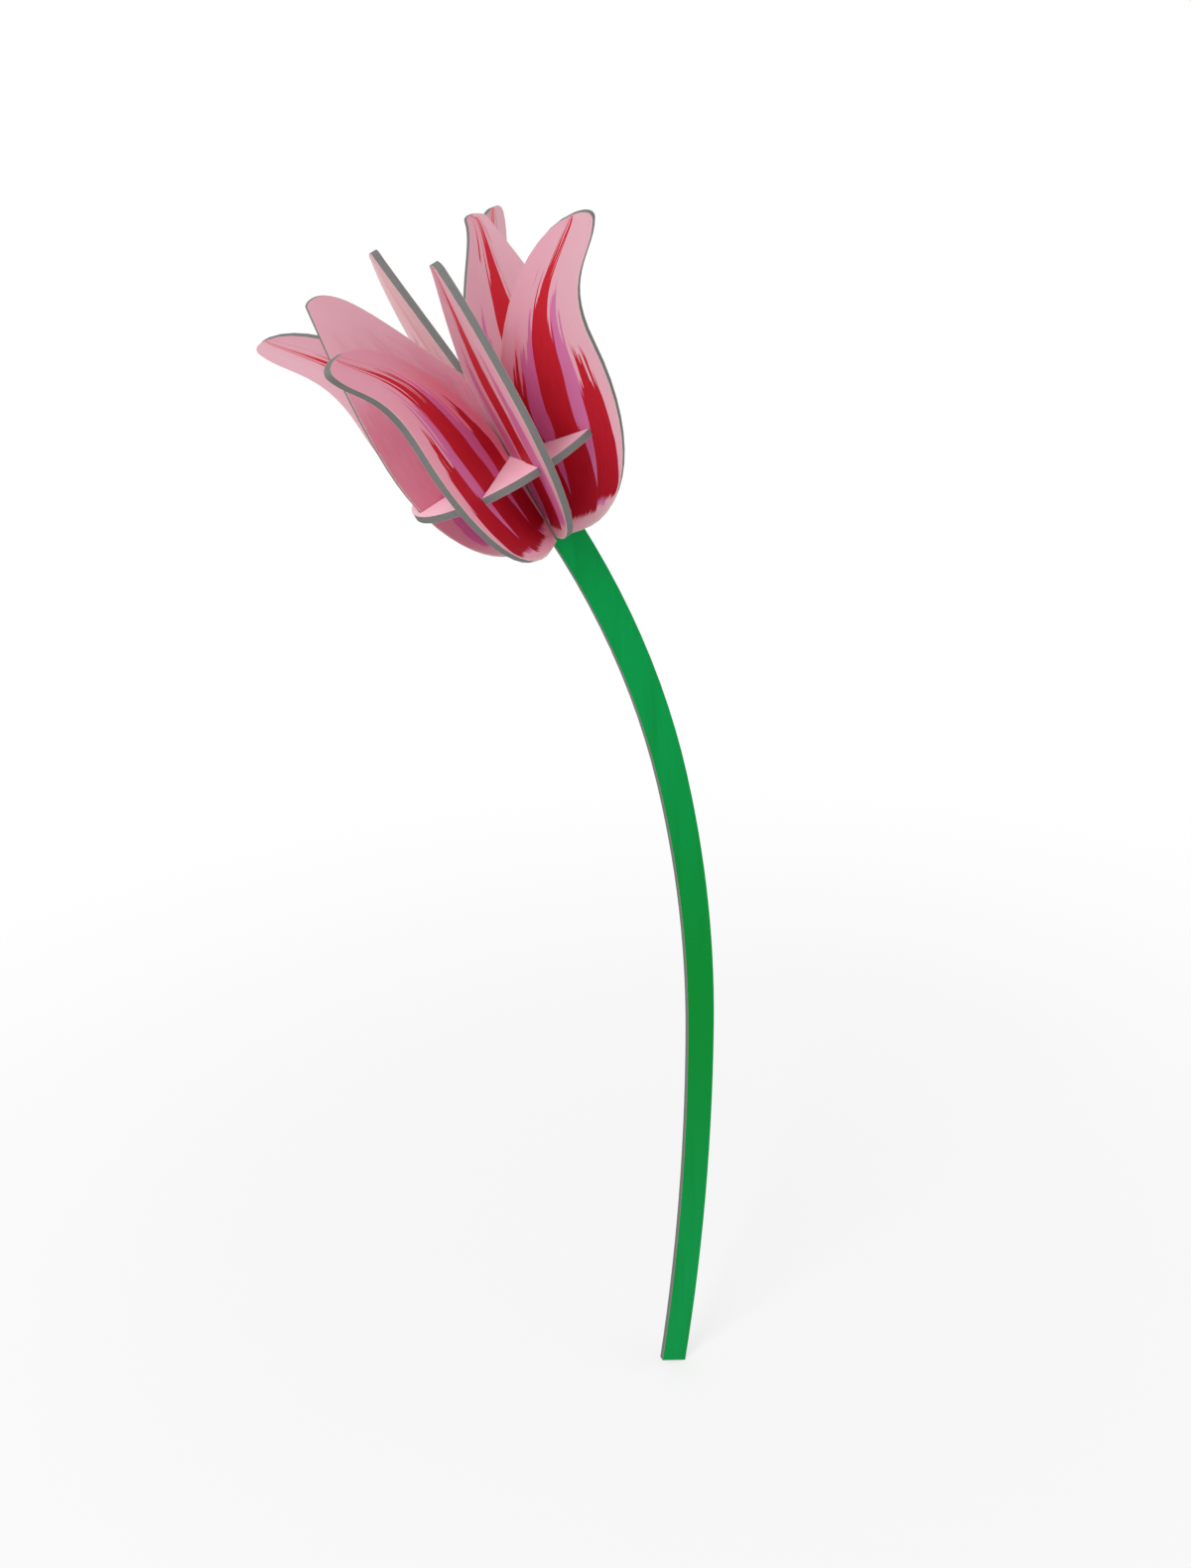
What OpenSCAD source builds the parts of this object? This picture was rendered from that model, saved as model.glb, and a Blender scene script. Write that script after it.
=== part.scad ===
// Slot-together cardboard tulip: eight flat half petals in a slotted oval disc, on a flat curved stem.
// The stem lies in the XZ plane and the head leans towards -X. The origin is the middle of the cut foot.

/* [Board] */
// Thickness of the greyboard that every piece is cut from
board = 2; // [1.5:0.1:2.6]
// Clearance on each side of a slot
fit = 0.1; // [0.05:0.05:0.2]

/* [Flared petals] */
// Reach of the turned-out tip from the axis of the head
flare_tip_r = 50.2; // [46:0.2:56]
// Height of the tip above the disc
flare_top = 48.3; // [44:0.1:54]
// Reach of the waist, where the edge stands upright
flare_waist_r = 35.8; // [32:0.2:39]
// Height of the waist above the disc
flare_waist_z = 19.5; // [14:0.5:26]
// Depth of the petal below the disc's top
flare_drop = 25.8; // [22:0.2:30]
// Reach of the flat heel under the petal
flare_heel_r = 8; // [5:0.5:12]
// Height of the inner edge where it comes down to the axis
flare_valley = 6; // [4:0.5:12]
// Room between the inner edge and the petals on each side
flare_room = 0.5; // [0.3:0.1:1]

/* [Straight petals beside the stem] */
// Reach of the left petal's narrow tip from the axis of the head
left_tip_r = 25.6; // [22:0.2:28]
// Height of the left petal's tip above the disc
left_top = 56.5; // [50:0.1:60]
// Width of the left petal's rounded tip
left_tip_w = 4; // [3:0.2:6]
// Reach to which the left petal's inner edge bends on its way down
left_dip_r = 11.6; // [8:0.2:14]
// Fullness of the left petal's inner edge under its tip, from hollow to full
left_full = 1; // [0:0.1:1]
// Reach of the right petal's narrow tip from the axis of the head
right_tip_r = 24; // [22:0.2:28]
// Height of the right petal's tip above the disc
right_top = 54.4; // [50:0.1:60]
// Width of the right petal's rounded tip
right_tip_w = 5.2; // [3:0.2:6]
// Reach to which the right petal's inner edge bends on its way down
right_dip_r = 9.2; // [8:0.2:14]
// Fullness of the right petal's inner edge under its tip, from hollow to full
right_full = 0.2; // [0:0.1:1]
// Reach of the waist, where the edge stands upright
side_waist_r = 29.6; // [27:0.2:32]
// Height of the waist above the disc
side_waist_z = 13; // [8:0.5:20]
// Fullness of the outer edge under the tip, from slim to full
side_flank = 0.4; // [0:0.1:1]
// Depth of the petal below the disc's top
side_drop = 24; // [22:0.2:30]

/* [Straight petals across the stem] */
// Reach of the near petal's narrow tip from the axis of the head
near_tip_r = 27.6; // [23:0.2:29]
// Height of the near petal's tip above the disc
near_top = 53.4; // [50:0.2:60]
// Reach of the far petal's narrow tip from the axis of the head
far_tip_r = 23.6; // [22:0.2:29]
// Height of the far petal's tip above the disc
far_top = 55.2; // [50:0.2:60]
// Width of both rounded tips
cross_tip_w = 4; // [3:0.2:6]
// Reach to which both inner edges bend on their way down
cross_dip_r = 13; // [8:0.2:15]
// Fullness of both inner edges under the tip, from hollow to full
cross_full = 0.4; // [0:0.1:1]
// Reach of the waist, where the edge stands upright
cross_waist_r = 31; // [28:0.2:34]
// Height of the waist above the disc
cross_waist_z = 22; // [16:0.5:26]
// Fullness of the outer edge under the tip, from slim to full
cross_flank = 0.8; // [0:0.1:1]
// Depth of the petal below the disc's top
cross_drop = 25; // [22:0.2:30]
// Reach of the flat heel under the petal
cross_heel_r = 3.5; // [3:0.5:8]

/* [All straight petals] */
// Height of the inner edge where it comes down to the axis
straight_valley = 22; // [16:0.5:28]

/* [Disc] */
// Half length of the oval, in the plane of the stem
disc_long_r = 29.8; // [29.5:0.1:34]
// Half width of the oval, across the stem
disc_short_r = 21.6; // [18:0.2:26]
// Reach at which the slots of disc and petal meet
slot_end_r = 13; // [10:0.5:16]

/* [Stem] */
// Width of the stem
stem_w = 9.5; // [7:0.1:12]
// Radius of the lower bend
lower_bend_r = 920; // [700:10:1500]
// Radius of the middle bend
middle_bend_r = 395; // [300:5:500]
// Radius of the upper bend
upper_bend_r = 254; // [220:5:320]
// Slope of the stem at the foot, from upright towards +X
foot_angle = 9.9; // [6:0.1:14]
// Slope where the lower bend meets the middle one
middle_angle = 1.5; // [-2:0.1:5]
// Slope where the middle bend meets the upper one
upper_angle = -11.5; // [-16:0.1:-6]
// Angle of the cut across the foot, from level
foot_cut = 25; // [0:1:35]
// Width of the tongue at the top of the stem
tongue_w = 6; // [4:0.1:8]
// Height of the tongue above the disc
tongue_h = 3; // [2:0.5:8]
// Room between the stem and the petals beside it
stem_room = 4.25; // [3.5:0.25:6]

/* [Head] */
// Lean of the head's axis from upright, towards -X
lean_angle = 27; // [20:0.5:35]
// Further slope of the stem where it meets the disc
entry_angle = 9; // [4:0.2:12]

/* [Hidden] */

PINK = [0.86, 0.65, 0.70];
PALE_PINK = [0.93, 0.67, 0.75];
GREEN = [0.0, 0.54, 0.24];

// Azimuth of each petal in the head, from +X towards +Y; the last flared one stands a little off its diagonal
FLARED_AZ = [315, 225, 135, 40];
CROSS_AZ = [270, 90];
SIDE_AZ = [180, 0];

// Points on each curved stretch of an outline
STEPS = 14;

slot_w = board + 2 * fit;
// Least reach at which a plate across the stem clears it, and a plate on a diagonal clears its neighbours
cross_inner_r = board / 2 + fit;
flare_inner_r = cross_inner_r * (1 + sqrt(2)) + flare_room;
// The legs of the petals beside the stem stand clear of it
leg_inner_r = stem_w / 2 + stem_room;

function bezier(a, b, c, d) = [for (i = [1:STEPS]) let (s = i / STEPS, r = 1 - s)
  a * pow(r, 3) + 3 * b * s * pow(r, 2) + 3 * c * pow(s, 2) * r + d * pow(s, 3)];

// Quarter of an ellipse, from the heel below its centre out to the waist beside it
function belly(heel_r, waist_r, waist_z, drop) = [for (i = [0:STEPS]) let (a = 90 * i / STEPS)
  [heel_r + (waist_r - heel_r) * sin(a), waist_z - (waist_z + drop) * cos(a)]];

// Reach of such a belly at the height z
function belly_reach(heel_r, waist_r, waist_z, drop, z) =
  heel_r + (waist_r - heel_r) * sin(acos((waist_z - z) / (waist_z + drop)));

// Outer edge of a flared petal above its waist, its rounded tip and its hollow inner edge
function flare_edge() =
  let (rise = flare_top - flare_waist_z, reach = flare_tip_r - flare_waist_r)
  let (waist = [flare_waist_r, flare_waist_z], crest = [flare_tip_r - 0.31 * reach, flare_top])
  let (shoulder = [flare_tip_r - 0.02 * reach, flare_top - 0.1 * rise], lead = [0.12 * reach, 0.105 * rise])
  let (hollow = [0.59 * flare_tip_r, flare_top], fall = [0.175 * flare_tip_r, 0.55 * flare_top])
  concat(
    bezier(waist, waist + [0, 0.58 * rise], shoulder - 2.4 * lead, shoulder),
    bezier(shoulder, shoulder + 0.6 * lead, crest + [0.24 * reach, 0], crest),
    bezier(crest, hollow, fall, [flare_inner_r, flare_valley]));

// Outer edge of a straight petal above its waist, its narrow tip and its inner edge down to inner_r.
// The tip is a reach, a height and a width; the dip is the bend of the inner edge and its fullness.
function straight_edge(tip, dip, waist, flank, inner_r) =
  let (tip_r = tip[0], top = tip[1], w = tip[2], dip_r = dip[0], full = dip[1])
  let (rise = top - waist[1], fall = top - straight_valley, shoulder = [tip_r, top - w / 2])
  let (crest = [tip_r - w, top - w / 5], lead = [0.23 * tip_r * full, (0.22 - 0.17 * full) * fall])
  concat(
    bezier(waist, waist + [0, 0.35 * rise], shoulder + [flank * (waist[0] - tip_r), -0.25 * rise], shoulder),
    bezier(shoulder, shoulder + [0, w / 3], crest + 0.3 * lead, crest),
    bezier(crest, crest - lead, [dip_r, top - 0.38 * fall], [inner_r, straight_valley]));

// Centre of each bend of the stem, and the points where the bends meet, from the foot upwards
function ahead(slope) = [sin(slope), cos(slope)];
function aside(slope) = [-cos(slope), sin(slope)];
function bend_end(start, r, from, to) = start + r * aside(from) - r * aside(to);

top_angle = -(lean_angle + entry_angle);
foot_point = [0, 0];
middle_point = bend_end(foot_point, lower_bend_r, foot_angle, middle_angle);
upper_point = bend_end(middle_point, middle_bend_r, middle_angle, upper_angle);
top_point = bend_end(upper_point, upper_bend_r, upper_angle, top_angle);

// The middle of the disc's underside sits on the top of the stem
head_point = top_point + board * ahead(-lean_angle);
leg_outer_r = belly_reach(leg_inner_r, side_waist_r, side_waist_z, side_drop, 0);

// Everything in the head is drawn with the disc's top at z = 0 and the axis upright, and then placed
module place_head() {
  translate([head_point[0], 0, head_point[1]]) rotate([0, -lean_angle, 0]) children();
}

// A flat plate that stands on the axis, drawn as reach and height
module plate(azimuth) {
  rotate([0, 0, azimuth]) rotate([90, 0, 0]) linear_extrude(height = board, center = true) children();
}

// Slot from the inner edge of a petal, in which the disc lies
module disc_slot() {
  translate([-fit, -board - fit]) square([slot_end_r + 2 * fit, slot_w]);
}

module flared_outline() {
  difference() {
    polygon(concat(
      [[flare_inner_r, -flare_drop]],
      belly(flare_heel_r, flare_waist_r, flare_waist_z, flare_drop),
      flare_edge()));
    disc_slot();
  }
}

module cross_outline(tip_r, top) {
  tip = [tip_r, top, cross_tip_w];
  dip = [cross_dip_r, cross_full];
  difference() {
    polygon(concat(
      [[cross_inner_r, -cross_drop]],
      belly(cross_heel_r, cross_waist_r, cross_waist_z, cross_drop),
      straight_edge(tip, dip, [cross_waist_r, cross_waist_z], cross_flank, cross_inner_r)));
    disc_slot();
  }
}

// A petal beside the stem drops through the disc on one leg and stands over the stem's tongue
module side_outline(tip, dip) {
  difference() {
    polygon(concat(
      belly(leg_inner_r, side_waist_r, side_waist_z, side_drop),
      straight_edge(tip, dip, [side_waist_r, side_waist_z], side_flank, fit),
      [[fit, fit], [leg_inner_r, fit]]));
    square([tongue_w / 2 + fit, tongue_h + fit]);
  }
}

module flared_petal(azimuth) {
  color(PINK) place_head() plate(azimuth) flared_outline();
}

module near_petal() {
  color(PINK) place_head() plate(CROSS_AZ[0]) cross_outline(near_tip_r, near_top);
}

module far_petal() {
  color(PINK) place_head() plate(CROSS_AZ[1]) cross_outline(far_tip_r, far_top);
}

module left_petal() {
  color(PINK) place_head() plate(SIDE_AZ[0])
    side_outline([left_tip_r, left_top, left_tip_w], [left_dip_r, left_full]);
}

module right_petal() {
  color(PINK) place_head() plate(SIDE_AZ[1])
    side_outline([right_tip_r, right_top, right_tip_w], [right_dip_r, right_full]);
}

// Slot in the disc along one azimuth, between two reaches
module radial_slot(azimuth, from_r, to_r) {
  rotate([0, 0, azimuth]) translate([from_r, -slot_w / 2]) square([to_r - from_r, slot_w]);
}

module disc() {
  color(PALE_PINK) place_head() translate([0, 0, -board]) linear_extrude(height = board) difference() {
    polygon([for (a = [0:5:355]) [disc_long_r * cos(a), disc_short_r * sin(a)]]);
    for (azimuth = concat(FLARED_AZ, CROSS_AZ)) radial_slot(azimuth, slot_end_r, 2 * disc_long_r);
    for (azimuth = SIDE_AZ) radial_slot(azimuth, leg_inner_r - fit, leg_outer_r + fit);
    square([tongue_w + 2 * fit, slot_w], center = true);
  }
}

// Angle by which a bend runs on past its end, to be trimmed there
function run_on(r) = stem_w / r * 180 / PI;

// One edge of a bend of the stem, from one slope to the next; out is its distance outside the middle line
function bend_edge(start, r, at, from, to, out) = [for (i = [0:STEPS])
  let (slope = from + (to - from) * i / STEPS)
  start + r * aside(at) - (r + out) * aside(slope)];

// One edge of the whole stem, from below the foot to above the disc
function stem_edge(out) = concat(
  bend_edge(foot_point, lower_bend_r, foot_angle, foot_angle + run_on(lower_bend_r), middle_angle, out),
  bend_edge(middle_point, middle_bend_r, middle_angle, middle_angle, upper_angle, out),
  bend_edge(upper_point, upper_bend_r, upper_angle, upper_angle, top_angle - run_on(upper_bend_r), out));

function reversed(points) = [for (i = [len(points) - 1:-1:0]) points[i]];

// The stem's outline, trimmed square to the disc at the top and on a slant at the foot
module stem_outline() {
  difference() {
    polygon(concat(stem_edge(stem_w / 2), reversed(stem_edge(-stem_w / 2))));
    translate(head_point) rotate(lean_angle) translate([-2 * stem_w, -board - fit]) square(4 * stem_w);
    rotate(-foot_cut) translate([-2 * stem_w, -4 * stem_w]) square(4 * stem_w);
  }
  translate(head_point) rotate(lean_angle) translate([-tongue_w / 2, -board - stem_w])
    square([tongue_w, board + stem_w + tongue_h]);
}

module stem() {
  color(GREEN) rotate([90, 0, 0]) linear_extrude(height = board, center = true) stem_outline();
}

stem();
disc();
flared_petal(FLARED_AZ[0]);  // flared_petal_right
flared_petal(FLARED_AZ[1]);  // flared_petal_left
flared_petal(FLARED_AZ[2]);  // flared_petal_far_left
flared_petal(FLARED_AZ[3]);  // flared_petal_far_right
near_petal();  // straight_petal_near
left_petal();  // straight_petal_left
far_petal();  // straight_petal_far
right_petal();  // straight_petal_right
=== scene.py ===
"""Dress the slot-together cardboard tulip.

Eight printed half petals stand in a slotted oval disc on a flat, curved green stem. Every piece is cut from
greyboard that carries a thin printed liner on each face, so the cut edges show grey board between two liners.
"""

import logging
import math
from dataclasses import dataclass
from enum import Enum
from typing import Any, Optional, Sequence, Union
import bmesh
import bpy
from mathutils import Matrix, Vector
from mathutils.geometry import interpolate_bezier


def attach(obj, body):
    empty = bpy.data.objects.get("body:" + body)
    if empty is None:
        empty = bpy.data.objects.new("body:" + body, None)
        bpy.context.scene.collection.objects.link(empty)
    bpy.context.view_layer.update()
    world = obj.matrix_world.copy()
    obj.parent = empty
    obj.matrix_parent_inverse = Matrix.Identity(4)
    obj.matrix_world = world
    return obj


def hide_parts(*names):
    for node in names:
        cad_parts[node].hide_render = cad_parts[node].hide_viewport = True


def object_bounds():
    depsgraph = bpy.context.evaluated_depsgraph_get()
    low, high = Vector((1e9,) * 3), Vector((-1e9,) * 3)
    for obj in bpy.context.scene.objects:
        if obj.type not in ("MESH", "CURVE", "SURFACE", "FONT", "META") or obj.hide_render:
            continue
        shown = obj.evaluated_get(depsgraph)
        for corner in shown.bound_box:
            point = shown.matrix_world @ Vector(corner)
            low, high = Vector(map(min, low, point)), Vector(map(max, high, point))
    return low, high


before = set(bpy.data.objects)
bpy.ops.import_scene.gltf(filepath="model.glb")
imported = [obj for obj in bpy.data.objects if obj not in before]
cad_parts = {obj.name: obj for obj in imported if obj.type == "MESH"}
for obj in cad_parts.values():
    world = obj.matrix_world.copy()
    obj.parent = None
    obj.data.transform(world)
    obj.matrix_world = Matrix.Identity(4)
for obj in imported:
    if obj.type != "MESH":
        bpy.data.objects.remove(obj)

CAD_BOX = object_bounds()
LOG = logging.getLogger("tulip")
# One millimetre in metres
MM = 0.001
# Distance under which two points are one
TINY = 1e-6
# Handle of a curve that makes a quarter circle, as a share of its radius
QUARTER = 0.5523

Colour = tuple[int, int, int]
Paint = tuple[float, float, float, float]
Point = tuple[float, float, float]
Cut = tuple[Vector, Vector, Vector, Vector]


def paint(colour: Colour) -> Paint:
    """Turn a colour from sRGB bytes into the linear values of a shader socket.

    Args:
        colour: Red, green and blue from 0 to 255.

    Returns:
        Linear red, green, blue and an alpha of 1.
    """
    parts = [channel / 255 for channel in colour]
    linear = [part / 12.92 if part <= 0.04045 else ((part + 0.055) / 1.055) ** 2.4 for part in parts]
    return (linear[0], linear[1], linear[2], 1.0)


def flat(reach: float, height: float) -> Vector:
    """Return a point of a cut outline, in millimetres."""
    return Vector((reach, height))


def arc_handle(turn: float) -> float:
    """Return the handle of a curve that turns by an angle in radians, as a share of its radius."""
    return 4 / 3 * math.tan(turn / 4)


class Wire:
    """One shader value between two nodes, on which Python's operators add Math nodes."""

    def __init__(self, graph: "Graph", socket: bpy.types.NodeSocket) -> None:
        """Keep the graph that the value belongs to and the output that gives it."""
        self.graph = graph
        self.socket = socket

    def _math(self, operation: str, *parts: "Number") -> "Wire":
        """Add one Math node.

        Args:
            operation: Name of the Math node's operation.
            parts: Its inputs, in order.

        Returns:
            The node's value.
        """
        return self.graph.node("ShaderNodeMath", {"operation": operation}, dict(enumerate(parts)))

    def __add__(self, other: "Number") -> "Wire":
        """Return the sum."""
        return self._math("ADD", self, other)

    def __radd__(self, other: "Number") -> "Wire":
        """Return the sum, with the number first."""
        return self._math("ADD", other, self)

    def __sub__(self, other: "Number") -> "Wire":
        """Return the difference."""
        return self._math("SUBTRACT", self, other)

    def __rsub__(self, other: "Number") -> "Wire":
        """Return the difference, with the number first."""
        return self._math("SUBTRACT", other, self)

    def __mul__(self, other: "Number") -> "Wire":
        """Return the product."""
        return self._math("MULTIPLY", self, other)

    def __rmul__(self, other: "Number") -> "Wire":
        """Return the product, with the number first."""
        return self._math("MULTIPLY", other, self)

    def __truediv__(self, other: "Number") -> "Wire":
        """Return the quotient."""
        return self._math("DIVIDE", self, other)

    def __rtruediv__(self, other: "Number") -> "Wire":
        """Return the quotient, with the number first."""
        return self._math("DIVIDE", other, self)

    def __abs__(self) -> "Wire":
        """Return the value without its sign."""
        return self._math("ABSOLUTE", self)

    def at_least(self, other: "Number") -> "Wire":
        """Return the larger of two values."""
        return self._math("MAXIMUM", self, other)

    def at_most(self, other: "Number") -> "Wire":
        """Return the smaller of two values."""
        return self._math("MINIMUM", self, other)

    def rise(self, low: "Number", high: "Number") -> "Wire":
        """Return a smooth step.

        Args:
            low: Value at which the step is 0.
            high: Value at which the step is 1.

        Returns:
            A value from 0 to 1.
        """
        sockets = {"Value": self, "From Min": low, "From Max": high}
        return self.graph.node("ShaderNodeMapRange", {"interpolation_type": "SMOOTHSTEP"}, sockets)


Number = Union[Wire, float]


class Graph:
    """A node tree of a material or of the world, to which nodes are added in reading order."""

    def __init__(self, tree: bpy.types.NodeTree) -> None:
        """Keep a node tree and empty it."""
        self.tree = tree
        self.tree.nodes.clear()

    def node(
        self,
        kind: str,
        settings: dict[str, Any],
        sockets: dict[Any, Any],
        out: Union[int, str] = 0,
    ) -> Wire:
        """Add a node of any type.

        Args:
            kind: The node's type.
            settings: What is set first: properties by name, and the points of a curve.
            sockets: Values or wires by input name or number.
            out: Output that is wanted.

        Returns:
            That output.
        """
        made = self.tree.nodes.new(kind)
        for name, value in settings.items():
            if name == "points":
                self._shape_curve(made.mapping, value)
            else:
                setattr(made, name, value)
        self._join(made, sockets)
        return Wire(self, made.outputs[out])

    def close(self, kind: str, surface: Wire) -> None:
        """Lead a shader to the output node that ends the tree.

        Args:
            kind: The output node's type.
            surface: The shader.
        """
        self._join(self.tree.nodes.new(kind), {"Surface": surface})

    def _join(self, made: bpy.types.Node, sockets: dict[Any, Any]) -> None:
        """Set or link a node's inputs.

        Args:
            made: The node.
            sockets: Values or wires by input name or number.
        """
        for key, value in sockets.items():
            if isinstance(value, Wire):
                self.tree.links.new(value.socket, made.inputs[key])
            else:
                made.inputs[key].default_value = value

    @staticmethod
    def _shape_curve(mapping: bpy.types.CurveMapping, points: Sequence[tuple[float, float]]) -> None:
        """Give a curve node its points.

        Args:
            mapping: The node's curve.
            points: Places on the curve, from left to right.
        """
        curve = mapping.curves[0]
        curve.points[0].location = points[0]
        curve.points[1].location = points[-1]
        for point in points[1:-1]:
            curve.points.new(*point)
        mapping.update()

    def vector(self, x: Number, y: Number, z: Number) -> Wire:
        """Return a vector from three values."""
        return self.node("ShaderNodeCombineXYZ", {}, {0: x, 1: y, 2: z})

    def part(self, vector: Wire, axis: str) -> Wire:
        """Return one of a vector's three values."""
        return self.node("ShaderNodeSeparateXYZ", {}, {0: vector}, axis)

    def noise(self, vector: Wire, scale: float, detail: float, roughness: float = 0.55) -> Wire:
        """Return a cloudy value about 0.5.

        Args:
            vector: Where the noise is read.
            scale: Its cells per unit of the vector.
            detail: Its finer octaves.
            roughness: Share of the finer octaves.

        Returns:
            A value from 0 to 1.
        """
        sockets = {"Vector": vector, "Scale": scale, "Detail": detail, "Roughness": roughness}
        return self.node("ShaderNodeTexNoise", {}, sockets)

    def clouds(self, vector: Wire, scales: Point, detail: float, roughness: float = 0.55) -> Wire:
        """Return a cloudy value about 0.5 with other scales along each axis.

        Args:
            vector: Where the noise is read.
            scales: Its cells per unit of the vector along X, Y and Z.
            detail: Its finer octaves.
            roughness: Share of the finer octaves.

        Returns:
            A value from 0 to 1.
        """
        spread = self.node("ShaderNodeVectorMath", {"operation": "MULTIPLY"}, {0: vector, 1: scales})
        return self.noise(spread, 1.0, detail, roughness)

    def curve(self, points: Sequence[tuple[float, float]], value: Wire) -> Wire:
        """Return what a curve through some points gives for a value."""
        return self.node("ShaderNodeFloatCurve", {"points": points}, {"Value": value})

    def length(self, vector: Wire) -> Wire:
        """Return the length of a vector."""
        return self.node("ShaderNodeVectorMath", {"operation": "LENGTH"}, {0: vector}, "Value")

    def mix(self, amount: Number, under: Any, over: Any) -> Wire:
        """Lay one colour over another.

        Args:
            amount: Cover of the upper colour, from 0 to 1.
            under: The lower colour.
            over: The upper colour.

        Returns:
            The colour that results.
        """
        return self.node("ShaderNodeMix", {"data_type": "RGBA"}, {0: amount, 6: under, 7: over}, 2)


class PaperShader(Graph):
    """A matte paper or board material, drawn in the millimetres of the flat piece."""

    def __init__(self, name: str, stand: Matrix) -> None:
        """Make an empty material and the coordinates of its flat piece.

        Args:
            name: The material's name.
            stand: Place of the flat piece in the model, in metres.
        """
        self.material = bpy.data.materials.new(name)
        self.material.use_nodes = True
        super().__init__(self.material.node_tree)
        place = self.node("ShaderNodeTexCoord", {}, {}, "Object")
        turn = stand.to_euler("XYZ")
        move = stand.to_translation()
        sockets = {"Vector": place, "Location": move, "Rotation": turn, "Scale": (MM, MM, MM)}
        self.spot = self.node("ShaderNodeMapping", {"vector_type": "TEXTURE"}, sockets)
        self.reach = self.part(self.spot, "X")
        self.height = self.part(self.spot, "Y")
        self.depth = self.part(self.spot, "Z")

    def fibre(self) -> Wire:
        """Return the fine fibre of printed paper, about 0.5."""
        return self.noise(self.spot, 6.0, 3.0)

    def finish(self, colour: Wire, roughness: Wire, relief: Wire, height: float = 0.03) -> bpy.types.Material:
        """Close the material.

        Args:
            colour: Colour of the surface.
            roughness: Its roughness.
            relief: Its relief, from 0 to 1.
            height: Height of the relief in millimetres.

        Returns:
            The material.
        """
        bump = {"Strength": 0.4, "Distance": height * MM, "Height": relief}
        normal = self.node("ShaderNodeBump", {}, bump)
        sockets = {"Base Color": colour, "Roughness": roughness, "Normal": normal, "Specular IOR Level": 0.08}
        self.close("ShaderNodeOutputMaterial", self.node("ShaderNodeBsdfPrincipled", {}, sockets))
        return self.material


class Ink(Enum):
    """Inks of the petal print."""

    RED = ((166, 6, 32), (212, 46, 58), 1.0)
    # The coral ink's paler point is painted light on the tips of the petal that carries it
    CORAL = ((170, 12, 36), (230, 104, 106), 1.0)
    MAGENTA = ((196, 74, 148), (210, 106, 172), 0.75)
    BLUSH = ((222, 138, 140), (230, 158, 156), 0.6)

    def __init__(self, foot: Colour, point: Colour, cover: float) -> None:
        """Keep an ink.

        Args:
            foot: Colour at the foot of a flame, darker, partly as painted shade towards the heel.
            point: Colour at its point, lighter.
            cover: How well the ink covers the paper, from 0 to 1.
        """
        self.foot = paint(foot)
        self.point = paint(point)
        self.cover = cover


@dataclass(frozen=True)
class Flame:
    """A pointed tongue of ink that rises from the heel of a petal.

    Args:
        ink: Its ink.
        across: Where it stands, from 0 at the inner edge to 1 at the outer edge.
        foot: Height of its foot, from 0 at the heel to 1 at the tip.
        point: Height of its point.
        width: Width of its foot in millimetres.
        split: How far its point is split by the feather, as a share of its height.
        soft: Distance over which its sides fade, in millimetres.
    """

    ink: Ink
    across: float
    foot: float
    point: float
    width: float
    split: float = 0.9
    soft: float = 0.1

    def cover(self, across: Wire, up: Wire, chord: Wire, feather: Wire) -> Wire:
        """Work out where the flame lies.

        Args:
            across: Place across the petal.
            up: Place up the petal.
            chord: Width of the petal at that height, in millimetres.
            feather: Fine streaks along the petal, about 0.

        Returns:
            1 inside the flame and 0 outside it.
        """
        along = ((up - self.foot) / (self.point - self.foot) + feather * self.split).at_least(0.0)
        half = (1.0 - along * along * along) * (self.width / 2.0)
        inside = (half - abs(across - self.across) * chord).rise(-self.soft, self.soft)
        return inside * (up + feather * 0.04).rise(self.foot - 0.01, self.foot + 0.01)


@dataclass(frozen=True)
class Fan:
    """An even fan of flames, tallest in the middle.

    Args:
        count: Number of flames.
        top: Height of the tallest point, from 0 at the heel to 1 at the tip.
        width: Width of the middle flame in millimetres.
        inks: Inks of the main flames and of those between them.
        spread: Share of the petal's width that the fan takes.
        foot: Height of the lowest foot.
        lift: How much higher a foot at the edge of the petal would be.
        slope: How much lower a point at the edge would be.
        slim: Share of its width that a flame at the edge would lose.
    """

    count: int = 5
    top: float = 0.98
    width: float = 8.0
    inks: tuple[Ink, Ink] = (Ink.RED, Ink.MAGENTA)
    spread: float = 0.8
    foot: float = 0.05
    lift: float = 0.06
    slope: float = 0.55
    slim: float = 0.3

    def flames(self) -> list[Flame]:
        """Set out the flames.

        Returns:
            The flames in the order in which they are laid, the main ones last.
        """
        main, between = [], []
        for rank in range(self.count):
            place = rank - self.count // 2
            off = self.spread * place / self.count
            edge = abs(2.0 * off)
            ink, layer = (self.inks[1], between) if place % 2 else (self.inks[0], main)
            foot = self.foot + self.lift * edge
            point = self.top - self.slope * edge
            layer.append(Flame(ink, 0.5 + off, foot, point, self.width * (1.0 - self.slim * edge)))
        return between + main


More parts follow.
